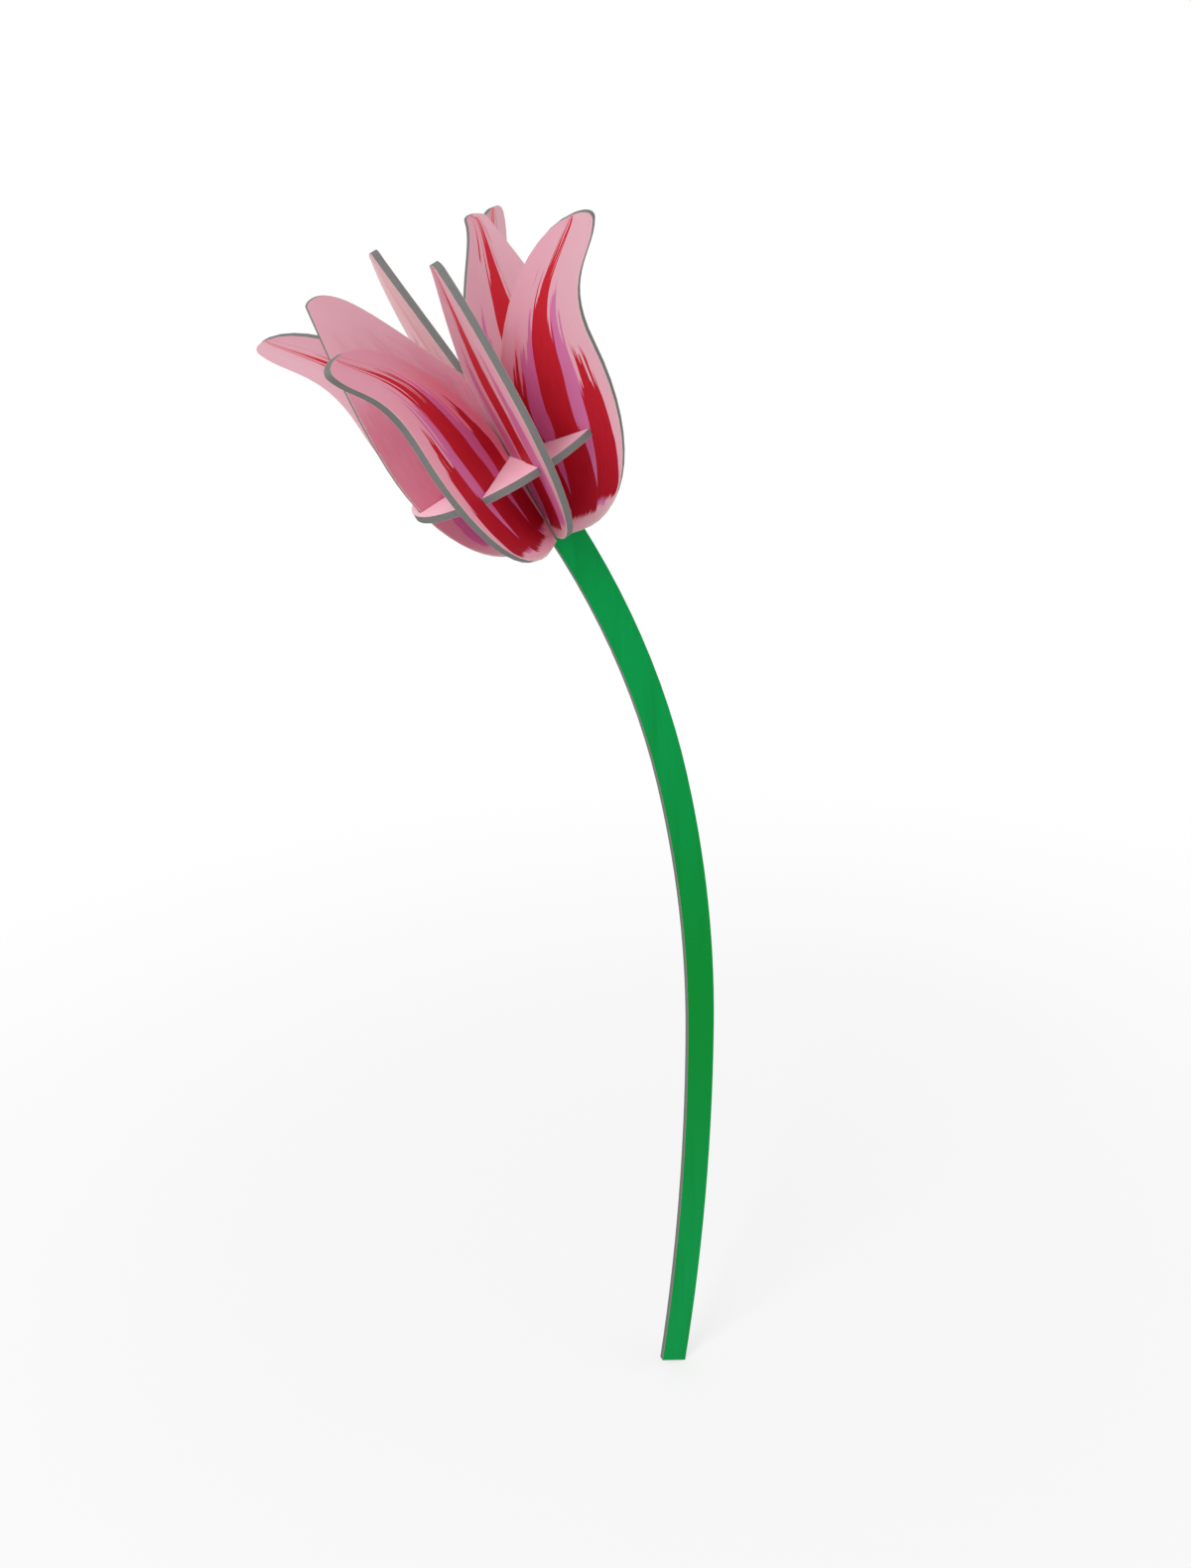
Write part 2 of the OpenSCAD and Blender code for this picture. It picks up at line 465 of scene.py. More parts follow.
@dataclass(frozen=True)
class PetalPrintAndShade:
    """The printed liner of a petal: rose paper with a fan of feathered flames, and painted shade towards the
    heel and the axis.

    Args:
        fan: The flames.
        pale: Colour of the paper along the outer edge.
        rose: Colour of the paper at the middle.
        painted_shade: Colour of the painted shade towards the heel and the axis.
        fall: Depth below the tip at which the painted shade starts, and at which it is full, from 0 to 1.
        side: How far the painted shade keeps to the axis, from 0 to 1.
        dry: Colour of the dry streaks in the wash.
        worn: Colour of the thin line along the rims where the print has worn.
        grain: Width and height of a petal on which the streaks have their true size, in millimetres.
        narrowest: Width at which the print of a narrow tip is cut off, in millimetres.
    """

    fan: Fan = Fan()
    pale: Colour = (230, 178, 190)
    rose: Colour = (221, 162, 176)
    # Painted shade towards the heel and the axis
    painted_shade: Colour = (204, 116, 136)
    fall: tuple[float, float] = (0.45, 1.05)
    side: float = 0.5
    dry: Colour = (244, 214, 220)
    worn: Colour = (226, 206, 192)
    grain: tuple[float, float] = (26.0, 78.0)
    narrowest: float = 3.0

    def make(self, petal: "Petal", stand: Matrix) -> bpy.types.Material:
        """Make the material of one petal.

        Args:
            petal: The petal that is printed.
            stand: Its place in the model.

        Returns:
            The material.
        """
        shader = PaperShader(petal.name + "_print", stand)
        up = ((shader.height + petal.drop) / petal.tall).at_least(0.0).at_most(1.0)
        inner = shader.curve(petal.inner_reach(), up) * petal.widest
        outer = shader.curve(petal.outer_reach(), up) * petal.widest
        chord = (outer - inner).at_least(self.narrowest)
        across = (shader.reach - inner) / chord
        lane = shader.vector(across * self.grain[0], up * self.grain[1], shader.depth * 3.0)
        wash = shader.clouds(lane, (0.35, 0.05, 0.5), 4.0)
        bristle = shader.clouds(lane, (2.6, 0.16, 1.0), 2.0)
        feather = shader.clouds(lane, (1.5, 0.04, 0.5), 1.0) - 0.5
        speck = shader.noise(shader.spot, 1.5, 2.0, 0.6)
        fibre = shader.fibre()
        colour = self._paper_and_shade(shader, across, up, wash, bristle)
        flames = self.fan.flames()
        covers = [flame.cover(across, up, chord, feather) for flame in flames]
        for flame, cover in zip(flames, covers):
            # Each flame runs from its darker foot colour to its lighter point colour up the petal; the darker
            # foot is partly painted shade
            ink = shader.mix(up + (bristle - 0.5) * 0.5, flame.ink.foot, flame.ink.point)
            colour = shader.mix(cover * flame.ink.cover, colour, ink)
        wet = covers[0]
        for cover in covers[1:]:
            wet = wet.at_least(cover)
        rim = across.at_most(1.0 - across) * chord + (speck - 0.5) * 0.8
        colour = shader.mix(rim.rise(0.4, 0.1) * up.rise(0.9, 0.75) * 0.6, colour, paint(self.worn))
        roughness = 0.6 + (fibre - 0.5) * 0.16 - wet * 0.1
        return shader.finish(colour, roughness, fibre * 0.6 + bristle * 0.25 + wet * 0.15)

    def _paper_and_shade(self, shader: PaperShader, across: Wire, up: Wire, wash: Wire, bristle: Wire) -> Wire:
        """Tint the paper and paint shade on it towards the heel and the axis.

        Args:
            shader: The shader in hand.
            across: Place across the petal.
            up: Place up the petal.
            wash: Broad clouds of the wash.
            bristle: Fine streaks along the petal.

        Returns:
            The paper's colour, with its painted shade.
        """
        shift = (wash - 0.5) * 0.5
        colour = shader.mix((across + shift).rise(0.2, 0.95), paint(self.rose), paint(self.pale))
        # Painted shade: the paper darkens towards the heel and, as far as side sets, towards the axis
        low = (1.0 - up + shift).rise(*self.fall) * up.rise(0.0, 0.14)
        near = (1.0 - across + shift).rise(0.25, 0.8)
        colour = shader.mix(low * (near * self.side + (1.0 - self.side)) * 0.85, colour, paint(self.painted_shade))
        streak = (bristle - 0.5).rise(-0.25, 0.3)
        return shader.mix(streak * 0.1, colour, paint(self.dry))


class Finish:
    """A surface that is the same for every piece that carries it."""

    KIND = "print"

    def make(self, name: str, stand: Matrix) -> bpy.types.Material:
        """Make the material of one piece.

        Args:
            name: Name of the piece.
            stand: Its place in the model.

        Returns:
            The material.
        """
        return self._lay(PaperShader(f"{name}_{self.KIND}", stand))

    def _lay(self, shader: PaperShader) -> bpy.types.Material:
        """Lay the surface on an empty shader and return its material."""
        raise NotImplementedError


@dataclass(frozen=True)
class StemPrintAndShade(Finish):
    """The printed liner of the stem: leaf green with faint streaks along its length, and painted shade over a
    band at mid height.

    Args:
        green: Main colour.
        dark: Colour of the darker clouds.
        light: Colour of the lighter streaks.
        painted_shade: Colour of the painted shade over a band at mid height.
        shade_stretch: Height of the middle of the painted shade and half its length, in millimetres.
    """

    green: Colour = (0, 153, 73)
    dark: Colour = (0, 141, 62)
    light: Colour = (0, 161, 82)
    # Painted shade over a band at mid height
    painted_shade: Colour = (0, 137, 40)
    shade_stretch: tuple[float, float] = (143.0, 118.0)

    def _lay(self, shader: PaperShader) -> bpy.types.Material:
        """Lay the green wash, its streaks and the painted shade at mid height.

        Args:
            shader: The empty shader.

        Returns:
            The material.
        """
        cloud = shader.clouds(shader.spot, (0.25, 0.02, 0.2), 4.0)
        streak = shader.clouds(shader.spot, (1.9, 0.06, 0.5), 3.0)
        fibre = shader.fibre()
        colour = shader.mix(cloud.rise(0.42, 0.7) * 0.7, paint(self.green), paint(self.dark))
        colour = shader.mix(streak.rise(0.5, 0.75) * 0.55, colour, paint(self.light))
        # Painted shade: the stem darkens over a band about its middle height
        middle, half = self.shade_stretch
        near = (1.0 - abs(shader.height - middle) / half).rise(0.0, 1.0)
        colour = shader.mix(near * 0.75, colour, paint(self.painted_shade))
        roughness = 0.56 + (fibre - 0.5) * 0.18 + (streak - 0.5) * 0.08
        return shader.finish(colour, roughness, fibre * 0.7 + streak * 0.3)


@dataclass(frozen=True)
class DiscPrintAndLight(Finish):
    """The printed liner of the disc: a rose print, deeper towards the middle, made paler overall as painted
    light against the shade that the petals cast on the disc.

    Args:
        rim: Colour at the rim, raised pale as painted light.
        middle: Colour at the middle, raised pale as painted light.
        dry: Colour of the dry streaks in the wash.
    """

    # Both wash colours are raised pale as painted light against the shade among the petals
    rim: Colour = (252, 208, 222)
    middle: Colour = (248, 194, 211)
    dry: Colour = (252, 216, 226)

    def _lay(self, shader: PaperShader) -> bpy.types.Material:
        """Lay the pale rose wash, whose paleness is partly painted light, and its streaks.

        Args:
            shader: The empty shader.

        Returns:
            The material.
        """
        away = shader.length(shader.spot)
        wash = shader.clouds(shader.spot, (0.3, 0.06, 0.3), 4.0)
        fibre = shader.fibre()
        colour = shader.mix((away + (wash - 0.5) * 14.0).rise(3.0, 24.0), paint(self.middle), paint(self.rim))
        colour = shader.mix(wash.rise(0.5, 0.75) * 0.25, colour, paint(self.dry))
        return shader.finish(colour, 0.6 + (fibre - 0.5) * 0.16, fibre)


@dataclass(frozen=True)
class Greyboard(Finish):
    """The cut edge of the board: pressed grey fibres in layers, with paler and darker flecks.

    Args:
        grey: Main colour.
        dark: Colour of the gaps between layers.
        fleck: Colour of the pale fibres.
    """

    KIND = "board"

    grey: Colour = (126, 126, 125)
    dark: Colour = (112, 112, 112)
    fleck: Colour = (144, 143, 141)

    def _lay(self, shader: PaperShader) -> bpy.types.Material:
        """Lay the pressed layers and the flecks.

        Args:
            shader: The empty shader.

        Returns:
            The material.
        """
        layers = shader.clouds(shader.spot, (0.35, 0.35, 5.0), 4.0, 0.6)
        pulp = shader.clouds(shader.spot, (2.0, 2.0, 7.0), 3.0, 0.6)
        colour = shader.mix(layers.rise(0.48, 0.66) * 0.6, paint(self.grey), paint(self.dark))
        colour = shader.mix(pulp.rise(0.58, 0.76) * 0.6, colour, paint(self.fleck))
        return shader.finish(colour, 0.86 + (pulp - 0.5) * 0.14, pulp * 0.6 + layers * 0.4, 0.08)


@dataclass(frozen=True)
class LinerEdge(Finish):
    """The cut edge of a printed liner: a thin line of bare paper with a little of the print's tint.

    Args:
        paper: Colour of the bare paper.
        tint: Colour where the print has bled into it.
    """

    KIND = "liner"

    paper: Colour = (206, 184, 166)
    tint: Colour = (196, 160, 156)

    def _lay(self, shader: PaperShader) -> bpy.types.Material:
        """Lay the bare paper and its tint.

        Args:
            shader: The empty shader.

        Returns:
            The material.
        """
        patch = shader.noise(shader.spot, 0.5, 3.0)
        pulp = shader.noise(shader.spot, 5.0, 3.0)
        colour = shader.mix(patch.rise(0.35, 0.65), paint(self.paper), paint(self.tint))
        return shader.finish(colour, 0.75 + (pulp - 0.5) * 0.15, pulp)


@dataclass
class Knot:
    """A point of a cut outline in millimetres.

    Args:
        at: The point.
        before: Handle towards the last point, or None where the cut is straight.
        after: Handle towards the next point, or None where the cut is straight.
    """

    at: Vector
    before: Optional[Vector] = None
    after: Optional[Vector] = None


class Knife:
    """Cuts a closed outline, one straight or curved cut after another."""

    def __init__(self, start: Vector) -> None:
        """Set the knife down."""
        self.knots = [Knot(start)]

    def line(self, *points: Vector) -> "Knife":
        """Cut straight from point to point, and return the knife."""
        self.knots.extend(Knot(point) for point in points)
        return self

    def curve(self, cut: Cut) -> "Knife":
        """Cut along a curve that starts where the knife is.

        Args:
            cut: The curve's start, its two handles and its end.

        Returns:
            The knife.
        """
        self.knots[-1].after = cut[1]
        self.knots.append(Knot(cut[3], before=cut[2]))
        return self


@dataclass
class Board:
    """The greyboard with its liners, and how a flat piece is cut from it.

    Args:
        thickness: Thickness with both liners, in millimetres.
        liner: Thickness of one liner.
        rim: Width of the soft rim that the knife leaves.
        fit: Clearance on each side of a slot.
        smooth: Number of straight stretches in each curved cut.
    """

    thickness: float = 2.0
    liner: float = 0.07
    rim: float = 0.04
    fit: float = 0.1
    smooth: int = 14

    @property
    def slot(self) -> float:
        """Return the width of a slot that takes the board."""
        return self.thickness + 2 * self.fit

    def cut(
        self,
        name: str,
        outline: Sequence[Knot],
        holes: Sequence[Sequence[Knot]] = (),
    ) -> bpy.types.Object:
        """Cut a flat piece along an outline and round its rims a little.

        Args:
            name: The piece's name.
            outline: Its outline.
            holes: Outlines of the holes in it.

        Returns:
            The piece, flat in the XY plane with the middle of its thickness at zero.
        """
        bpy.ops.object.select_all(action="DESELECT")
        bpy.ops.curve.primitive_bezier_curve_add(location=(0, 0, 0))
        piece = bpy.context.object
        piece.name = name
        piece.data.dimensions = "2D"
        piece.data.fill_mode = "NONE"
        self._trace(piece.data.splines[0], outline)
        for hole in holes:
            self._trace(piece.data.splines.new("BEZIER"), hole)
        bpy.ops.object.convert(target="MESH")
        bpy.ops.object.mode_set(mode="EDIT")
        bpy.ops.mesh.select_all(action="SELECT")
        bpy.ops.mesh.remove_doubles(threshold=TINY)
        if holes:
            bpy.ops.mesh.fill(use_beauty=True)
        else:
            bpy.ops.mesh.edge_face_add()
        self._thicken()
        self._soften(piece.data)
        bpy.ops.object.mode_set(mode="OBJECT")
        return piece

    def _trace(self, spline: bpy.types.Spline, knots: Sequence[Knot]) -> None:
        """Lay a closed spline along an outline.

        Args:
            spline: The spline, new.
            knots: The outline.
        """
        spline.resolution_u = self.smooth
        spline.bezier_points.add(len(knots) - len(spline.bezier_points))
        spline.use_cyclic_u = True
        for point, knot in zip(spline.bezier_points, knots):
            point.handle_left_type = "VECTOR" if knot.before is None else "FREE"
            point.handle_right_type = "VECTOR" if knot.after is None else "FREE"
            point.co = (*(knot.at * MM), 0)
            point.handle_left = (*((knot.before or knot.at) * MM), 0)
            point.handle_right = (*((knot.after or knot.at) * MM), 0)

    def _thicken(self) -> None:
        """Raise the selected face through liner, board and liner, in edit mode."""
        bpy.ops.transform.translate(value=(0, 0, -self.thickness / 2 * MM))
        for layer in (self.liner, self.thickness - 2 * self.liner, self.liner):
            bpy.ops.mesh.extrude_region_move(TRANSFORM_OT_translate={"value": (0, 0, layer * MM)})
        bpy.ops.mesh.select_all(action="SELECT")
        bpy.ops.mesh.normals_make_consistent(inside=False)

    def _soften(self, shape: bpy.types.Mesh) -> None:
        """Round the rims of a flat piece a little, in edit mode.

        Args:
            shape: Mesh of the piece.
        """
        bpy.ops.mesh.select_mode(type="EDGE")
        bpy.ops.mesh.select_all(action="DESELECT")
        mesh = bmesh.from_edit_mesh(shape)
        for edge in mesh.edges:
            sharp = len(edge.link_faces) == 2 and edge.calc_face_angle() > 1.0
            edge.select_set(sharp and self._on_rim(edge))
        bmesh.update_edit_mesh(shape)
        bpy.ops.mesh.bevel(offset=self.rim * MM, segments=2, affect="EDGES", clamp_overlap=True)

    def _on_rim(self, edge: bmesh.types.BMEdge) -> bool:
        """Return whether an edge lies in one of the two faces of the board."""
        return all(abs(abs(vert.co.z) - self.thickness / 2 * MM) < TINY for vert in edge.verts)

    def dress(self, piece: bpy.types.Object, printed: bpy.types.Material, stand: Matrix) -> None:
        """Give a flat piece its print, its liner edges and its board edges.

        Args:
            piece: The piece, still flat.
            printed: Material of its two faces.
            stand: Its place in the model.
        """
        piece.data.materials.clear()
        piece.data.materials.append(printed)
        piece.data.materials.append(LinerEdge().make(piece.name, stand))
        piece.data.materials.append(Greyboard().make(piece.name, stand))
        core = (self.thickness / 2 - self.liner) * MM
        for face in piece.data.polygons:
            edge = 1 if abs(face.center.z) > core else 2
            face.material_index = 0 if abs(face.normal.z) > 0.8 else edge

    def stand_up(self, piece: bpy.types.Object, stand: Matrix, node: str, slot: str) -> None:
        """Put a finished flat piece in its place.

        Args:
            piece: The piece, still flat.
            stand: Its place in the model.
            node: Solid that it stands for.
            slot: Name of a material slot; not used.
        """
        bpy.ops.object.select_all(action="DESELECT")
        piece.select_set(True)
        bpy.context.view_layer.objects.active = piece
        piece.matrix_world = stand
        bpy.ops.object.transform_apply(location=True, rotation=True, scale=True)
        bpy.ops.object.shade_smooth_by_angle(angle=math.radians(20))
        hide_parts(node)
        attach(piece, "root")
        LOG.info("%s: %d faces", piece.name, len(piece.data.polygons))


@dataclass
class Stem:
    """The flat curved stem, with a slanted foot and a tongue that goes through the disc.

    Args:
        board: Board that it is cut from.
        width: Its width in millimetres.
        bends: Radius of each bend, from the foot upwards.
        slopes: Slope at the foot, where the bends meet and at the top, in degrees from upright towards +X.
        foot_cut: Angle of the cut across the foot, in degrees from level.
        tongue_width: Width of the tongue.
        tongue_height: Height of the tongue above the disc.
        lean: Lean of the head, in degrees.
    """

    board: Board
    width: float = 9.5
    bends: tuple[float, float, float] = (920.0, 395.0, 254.0)
    slopes: tuple[float, float, float, float] = (9.9, 1.5, -11.5, -36.0)
    foot_cut: float = 25.0
    tongue_width: float = 6.0
    tongue_height: float = 3.0
    lean: float = 27.0

    @staticmethod
    def _ahead(slope: float) -> Vector:
        """Return the direction along the stem at a slope in degrees."""
        return flat(math.sin(math.radians(slope)), math.cos(math.radians(slope)))

    @staticmethod
    def _aside(slope: float) -> Vector:
        """Return the direction to the left of the stem at a slope in degrees."""
        return flat(-math.cos(math.radians(slope)), math.sin(math.radians(slope)))

    def centres(self) -> list[Vector]:
        """Find the centre of each bend.

        Returns:
            The centres, from the foot upwards.
        """
        point = flat(0, 0)
        found = []
        for radius, start, end in zip(self.bends, self.slopes, self.slopes[1:]):
            found.append(point + self._aside(start) * radius)
            point = found[-1] - self._aside(end) * radius
        return found

    def head(self) -> Vector:
        """Return the middle of the disc's top."""
        top = self.centres()[-1] - self._aside(self.slopes[-1]) * self.bends[-1]
        return top + self._ahead(-self.lean) * self.board.thickness

    @staticmethod
    def _meet(point: Vector, along: Vector, centre: Vector, radius: float) -> Vector:
        """Find where a straight cut meets an edge of a bend.

        Args:
            point: A point of the cut.
            along: Direction of the cut.
            centre: Centre of the bend, far to the left.
            radius: Radius of the edge.

        Returns:
            The crossing on the right of the centre.
        """
        away = point - centre
        half = along.dot(away)
        return point + along * (math.sqrt(half * half - away.dot(away) + radius * radius) - half)

    @staticmethod
    def _arc(centre: Vector, start: Vector, end: Vector) -> Cut:
        """Run a curve from one point to another round a centre.

        Args:
            centre: The centre.
            start: Where the curve starts.
            end: Where it ends.

        Returns:
            The curve.
        """
        first = start - centre
        last = end - centre
        lead = arc_handle(math.atan2(first.x * last.y - first.y * last.x, first.dot(last)))
        return (start, start + flat(-first.y, first.x) * lead, end - flat(-last.y, last.x) * lead, end)

    def _side(self, out: float) -> list[Cut]:
        """Return the curves of one edge of the stem.

        Args:
            out: Distance of the edge to the right of the middle line.

        Returns:
            Three curves, from the foot upwards.
        """
        centres = self.centres()
        head = self.head()
        under = head - self._ahead(-self.lean) * (self.board.thickness + self.board.fit)
        cut = math.radians(-self.foot_cut)
        level = flat(math.cos(cut), math.sin(cut))
        joints = [self._meet(flat(0, 0), level, centres[0], self.bends[0] + out)]
        for centre, radius, slope in zip(centres, self.bends, self.slopes[1:-1]):
            joints.append(centre - self._aside(slope) * (radius + out))
        joints.append(self._meet(under, -self._aside(-self.lean), centres[2], self.bends[2] + out))
        return [self._arc(centre, *ends) for centre, ends in zip(centres, zip(joints, joints[1:]))]

    def outline(self) -> list[Knot]:
        """Cut round the whole stem.

        Returns:
            Its outline, from the right of the foot.
        """
        head = self.head()
        axis = self._ahead(-self.lean)
        right = -self._aside(-self.lean) * (self.tongue_width / 2)
        shoulder = head - axis * (self.board.thickness + self.board.fit)
        crown = head + axis * self.tongue_height
        left_side = self._side(-self.width / 2)
        right_side = self._side(self.width / 2)
        knife = Knife(right_side[0][0])
        for cut in right_side:
            knife.curve(cut)
        knife.line(shoulder + right, crown + right, crown - right, shoulder - right, left_side[-1][3])
        for start, first, last, end in reversed(left_side):
            knife.curve((end, last, first, start))
        return knife.knots

    def build(self) -> None:
        """Cut, dress and place the stem."""
        stand = Matrix.Rotation(math.radians(90), 4, "X")
        piece = self.board.cut("green_stem", self.outline())
        self.board.dress(piece, StemPrintAndShade().make(piece.name, stand), stand)
        self.board.stand_up(piece, stand, "stem", "green_board")


@dataclass
class Head:
    """The frame of the flower head, in which the disc and the petals stand.

    Args:
        stem: Stem that carries it.
        slot_end: Reach at which the slots of disc and petal meet, in millimetres.
    """

    stem: Stem
    slot_end: float = 13.0

    @property
    def board(self) -> Board:
        """Return the board that the head is cut from."""
        return self.stem.board

    def level(self, drop: float) -> Matrix:
        """Return the place of a level piece whose middle lies below the disc's top.

        Args:
            drop: Depth of its middle below the disc's top, in millimetres.

        Returns:
            The place, in metres.
        """
        middle = self.stem.head()
        move = Matrix.Translation((middle.x * MM, 0, middle.y * MM))
        lean = Matrix.Rotation(math.radians(-self.stem.lean), 4, "Y")
        return move @ lean @ Matrix.Translation((0, 0, -drop * MM))

    def upright(self, azimuth: float) -> Matrix:
        """Return the place of a petal at an azimuth in degrees."""
        turn = Matrix.Rotation(math.radians(azimuth), 4, "Z")
        return self.level(0) @ turn @ Matrix.Rotation(math.radians(90), 4, "X")

    def slot_cut(self, inner: float) -> list[Vector]:
        """Return the corners of a petal's slot for the disc, from the top down.

        Args:
            inner: Reach of the petal's inner edge.

        Returns:
            Four corners.
        """
        end = self.slot_end + self.board.fit
        low = -self.board.thickness - self.board.fit
        high = self.board.fit
        return [flat(inner, high), flat(end, high), flat(end, low), flat(inner, low)]


@dataclass
class Petal:
    """A half petal that stands on the axis of the head.

    Args:
        name: Its name.
        head: Head that it stands in.
        azimuth: Where it stands, in degrees from +X.
        tip_reach: Reach of its tip from the axis, in millimetres.
        top: Height of its tip above the disc.
        waist_reach: Reach of its waist.
        waist_height: Height of its waist above the disc.
        drop: Depth of its heel below the disc's top.
        heel: Reach at which its round belly starts.
        inner: Reach of its inner edge.
        valley: Height at which its inner edge comes down to the axis.
    """

    # Half the width of a slot that takes the board
    HALF_SLOT = 1.1
    # Points measured on each cut, and heights at which an edge is read
    POINTS = 24
    HEIGHTS = 16
    # How much closer together those heights lie towards the tip
    CROWDING = 1.8

    name: str
    head: Head
    azimuth: float
    tip_reach: float
    top: float
    waist_reach: float
    waist_height: float
    drop: float
    heel: float
    inner: float
    valley: float

    @property
    def node(self) -> str:
        """Return the solid that the petal stands for."""
        kind, place = self.name.split("_", 1)
        return f"{kind}_petal_{place}"

    @property
    def tall(self) -> float:
        """Return the height from heel to tip."""
        return self.drop + self.top

    @property
    def widest(self) -> float:
        """Return a reach that no part of the petal passes."""
        return 1.1 * max(self.tip_reach, self.waist_reach)

    @property
    def waist(self) -> Vector:
        """Return the point where the outer edge stands upright."""
        return flat(self.waist_reach, self.waist_height)

    def belly(self) -> Cut:
        """Round the belly.

        Returns:
            The cut from the heel to the waist.
        """
        start = flat(self.heel, -self.drop)
        low = start + flat(QUARTER * (self.waist_reach - self.heel), 0)
        return (start, low, self.waist - flat(0, QUARTER * (self.waist_height + self.drop)), self.waist)

    def upper_cuts(self) -> tuple[Cut, Cut, Cut]:
        """Return the cuts of the flank, the tip and the inner edge."""
        raise NotImplementedError

    def outline(self) -> list[Knot]:
        """Cut round the whole petal.

        Returns:
            Its outline, from the inner end of the heel.
        """
        knife = Knife(flat(self.inner, -self.drop)).line(flat(self.heel, -self.drop)).curve(self.belly())
        for cut in self.upper_cuts():
            knife.curve(cut)
        return knife.line(*self.head.slot_cut(self.inner)).knots

    def _reach(self, cuts: Sequence[Cut], low_end: Vector) -> list[tuple[float, float]]:
        """Measure the reach of an edge at heights that lie closer together towards the tip.

        Args:
            cuts: Cuts of the edge, from the bottom up.
            low_end: Point from which the edge runs straight to the first cut.

        Returns:
            Height and reach, each as a share of the whole.
        """
        points = [low_end]
        for cut in cuts:
            points.extend(interpolate_bezier(*cut, self.POINTS))
        found = []
        for step in range(self.HEIGHTS + 1):
            share_up = 1 - (1 - step / self.HEIGHTS) ** self.CROWDING
            height = self.tall * share_up - self.drop
            below = max((p for p in points if p.y <= height + TINY), key=lambda p: p.y)
            above = min((p for p in points if p.y >= height), key=lambda p: p.y, default=below)
            gap = above.y - below.y
            share = (height - below.y) / gap if gap > TINY else 0.0
            found.append((share_up, (below.x + (above.x - below.x) * share) / self.widest))
        return found

    def inner_reach(self) -> list[tuple[float, float]]:
        """Return the reach of the inner edge, from heel to tip."""
        start, first, last, end = self.upper_cuts()[2]
        return self._reach([(end, last, first, start)], flat(self.inner, -self.drop))

    def outer_reach(self) -> list[tuple[float, float]]:
        """Return the reach of the outer edge, from heel to tip."""
        flank, tip, _ = self.upper_cuts()
        return self._reach([self.belly(), flank, tip], flat(self.heel, -self.drop))

    def cut(self) -> bpy.types.Object:
        """Return the petal as a flat piece."""
        return self.head.board.cut(self.name, self.outline())

    def finish(self, piece: bpy.types.Object, printed: PetalPrintAndShade) -> None:
        """Dress a flat petal and stand it in the head.

        Args:
            piece: The petal, still flat.
            printed: Its print, with its painted shade.
        """
        stand = self.head.upright(self.azimuth)
        self.head.board.dress(piece, printed.make(self, stand), stand)
        self.head.board.stand_up(piece, stand, self.node, "petal_board")


@dataclass
class FlaredPetal(Petal):
    """A broad petal whose tip turns outwards."""

    tip_reach: float = 50.2
    top: float = 48.3
    waist_reach: float = 35.8
    waist_height: float = 19.5
    drop: float = 25.8
    heel: float = 8.0
    inner: float = Petal.HALF_SLOT * (1 + math.sqrt(2)) + 0.5
    valley: float = 6.0

    def upper_cuts(self) -> tuple[Cut, Cut, Cut]:
        """Shape the petal above its waist.

        Returns:
            The cuts of the flank, the turned-out tip and the hollow inner edge.
        """
        rise = self.top - self.waist_height
        turn = self.tip_reach - self.waist_reach
        shoulder = flat(self.tip_reach - 0.02 * turn, self.top - 0.1 * rise)
        crest = flat(self.tip_reach - 0.31 * turn, self.top)
        lead = flat(0.12 * turn, 0.105 * rise)
        hollow = flat(0.59 * self.tip_reach, self.top)
        fall = flat(0.175 * self.tip_reach, 0.55 * self.top)
        return (
            (self.waist, self.waist + flat(0, 0.58 * rise), shoulder - lead * 2.4, shoulder),
            (shoulder, shoulder + lead * 0.6, crest + flat(0.24 * turn, 0), crest),
            (crest, hollow, fall, flat(self.inner, self.valley)),
        )


@dataclass
class StraightPetal(Petal):
    """A slim petal with a narrow tip.

    Args:
        full: Fullness of the inner edge under the tip, from 0, hollow, to 1, full.
        tip_width: Width of the rounded tip.
        dip_reach: Reach to which the inner edge bends on its way down.
        flank: Fullness of the outer edge under the tip, from 0, slim, to 1, full.
    """

    tip_reach: float = 26.0
    top: float = 54.0
    waist_reach: float = 31.0
    waist_height: float = 22.0
    drop: float = 25.0
    heel: float = 3.5
    inner: float = Petal.HALF_SLOT
    valley: float = 22.0
    full: float = 0.4
    tip_width: float = 4.0
    dip_reach: float = 13.0
    flank: float = 0.8

    def upper_cuts(self) -> tuple[Cut, Cut, Cut]:
        """Shape the petal above its waist.

        Returns:
            The cuts of the flank, the narrow tip and the inner edge.
        """
        rise = self.top - self.waist_height
        fall = self.top - self.valley
        shoulder = flat(self.tip_reach, self.top - self.tip_width / 2)
        crest = flat(self.tip_reach - self.tip_width, self.top - self.tip_width / 5)
        lead = flat(0.23 * self.tip_reach * self.full, (0.22 - 0.17 * self.full) * fall)
        bend = flat(self.flank * (self.waist_reach - self.tip_reach), -0.25 * rise)
        dip = flat(self.dip_reach, self.top - 0.38 * fall)
        return (
            (self.waist, self.waist + flat(0, 0.35 * rise), shoulder + bend, shoulder),
            (shoulder, shoulder + flat(0, self.tip_width / 3), crest + lead * 0.3, crest),
            (crest, crest - lead, dip, flat(self.inner, self.valley)),
        )


